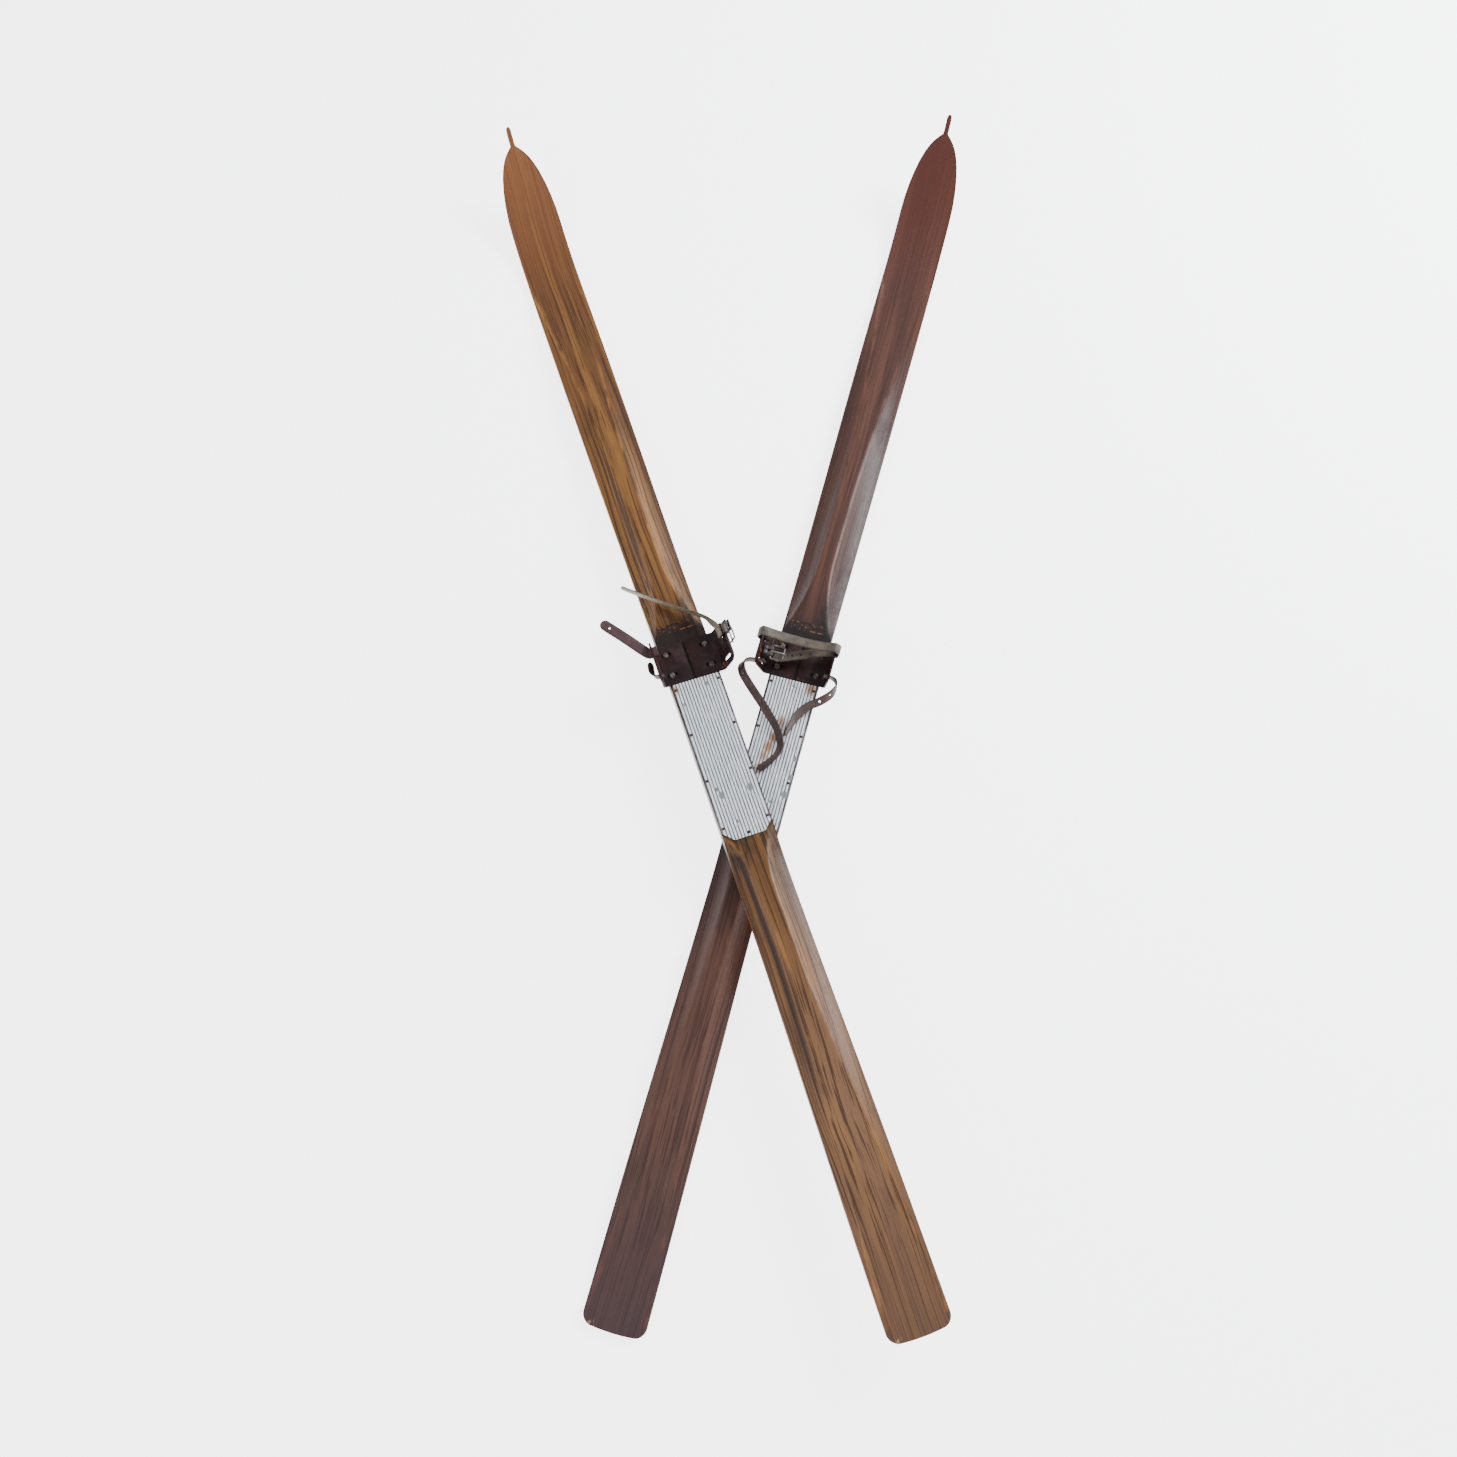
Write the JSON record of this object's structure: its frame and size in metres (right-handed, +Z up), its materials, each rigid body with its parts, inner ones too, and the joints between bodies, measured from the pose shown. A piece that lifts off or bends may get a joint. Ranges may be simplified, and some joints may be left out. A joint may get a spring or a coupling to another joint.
{
  "type": "wooden ski pair",
  "caption": "Crossed pair of old ridge-top wooden skis with pegged tips, ribbed foot plates, adjustable toe irons, leather straps and wire buckles.",
  "frame": {"origin": "centre of the bounding box's bottom face, on the ground", "axes": "+Z up, +Y from the tails to the tips midway between the two skis, +X to the right"},
  "size_m": [0.7614, 1.8378, 0.124],
  "materials": {
    "lower_wood": "old oiled finish, dark red-brown",
    "upper_wood": "old oiled finish, golden brown",
    "plate": "ribbed, scratched and dented",
    "iron": "dark red-brown enamel, rusted",
    "nail": "rusted",
    "screw": "worn slotted heads",
    "olive_leather": "worn, olive brown",
    "dark_leather": "dark, cracked",
    "tan_leather": "thin, worn to the hide",
    "buckle": "tarnished wire",
    "rivet": "tarnished"
  },
  "bodies": {
    "lower_ski": {"lower_ski": "lower_wood", "lower_foot_plate": "plate", "lower_plate_nails": "nail", "lower_iron_screws": "screw", "lower_toe_strap": "olive_leather", "lower_heel_strap_left": "dark_leather", "lower_heel_rivets": "rivet", "lower_heel_strap_right": "dark_leather"},
    "lower_iron_left": {"lower_toe_iron_left": "iron", "lower_buckle_chape": "dark_leather", "lower_chape_rivets": "rivet"},
    "lower_iron_right": {"lower_toe_iron_right": "iron"},
    "lower_buckle": {"lower_buckle_frame": "buckle"},
    "lower_tongue": {"lower_buckle_tongue": "buckle"},
    "upper_ski": {"upper_ski": "upper_wood", "upper_foot_plate": "plate", "upper_plate_nails": "nail", "upper_iron_screws": "screw"},
    "upper_iron_left": {"upper_toe_iron_left": "iron", "upper_strap_left": "dark_leather", "upper_heel_stub": "dark_leather"},
    "upper_iron_right": {"upper_toe_iron_right": "iron", "upper_ear_loop": "dark_leather", "upper_buckle_chape": "dark_leather", "upper_chape_rivets": "rivet", "upper_strap_right": "tan_leather"},
    "upper_buckle": {"upper_buckle_frame": "buckle"},
    "upper_tongue": {"upper_buckle_tongue": "buckle"}
  },
  "joints": [
    {"name": "upper_ski_lift", "type": "slide", "parent": "lower_ski", "child": "upper_ski", "axis": [0, 0, 1], "range_m": [0, 0.2]},
    {"name": "lower_left_adjust", "type": "slide", "parent": "lower_ski", "child": "lower_iron_left", "axis": [0.9638, -0.2667, 0], "range_m": [-0.002, 0.002]},
    {"name": "lower_right_adjust", "type": "slide", "parent": "lower_ski", "child": "lower_iron_right", "axis": [0.9638, -0.2667, 0], "range_m": [-0.002, 0.002]},
    {"name": "upper_left_adjust", "type": "slide", "parent": "upper_ski", "child": "upper_iron_left", "axis": [0.9494, 0.314, 0], "range_m": [-0.002, 0.002]},
    {"name": "upper_right_adjust", "type": "slide", "parent": "upper_ski", "child": "upper_iron_right", "axis": [0.9494, 0.314, 0], "range_m": [-0.002, 0.002]},
    {"name": "lower_buckle_swing", "type": "hinge", "parent": "lower_iron_left", "child": "lower_buckle", "pos_m": [0.06029, -0.02873, 0.0608], "axis": [-0.2667, -0.9638, 0], "range_deg": [-5, 40]},
    {"name": "lower_tongue_swing", "type": "hinge", "parent": "lower_buckle", "child": "lower_tongue", "pos_m": [0.06029, -0.02873, 0.0608], "axis": [-0.2667, -0.9638, 0], "range_deg": [0, 70]},
    {"name": "upper_buckle_swing", "type": "hinge", "parent": "upper_iron_right", "child": "upper_buckle", "pos_m": [-0.00229, -0.00722, 0.08591], "axis": [0.4211, 0.1727, 0.8904], "range_deg": [-3, 40]},
    {"name": "upper_tongue_swing", "type": "hinge", "parent": "upper_buckle", "child": "upper_tongue", "pos_m": [-0.00229, -0.00722, 0.08591], "axis": [0.4211, 0.1727, 0.8904], "range_deg": [0, 70]}
  ]
}
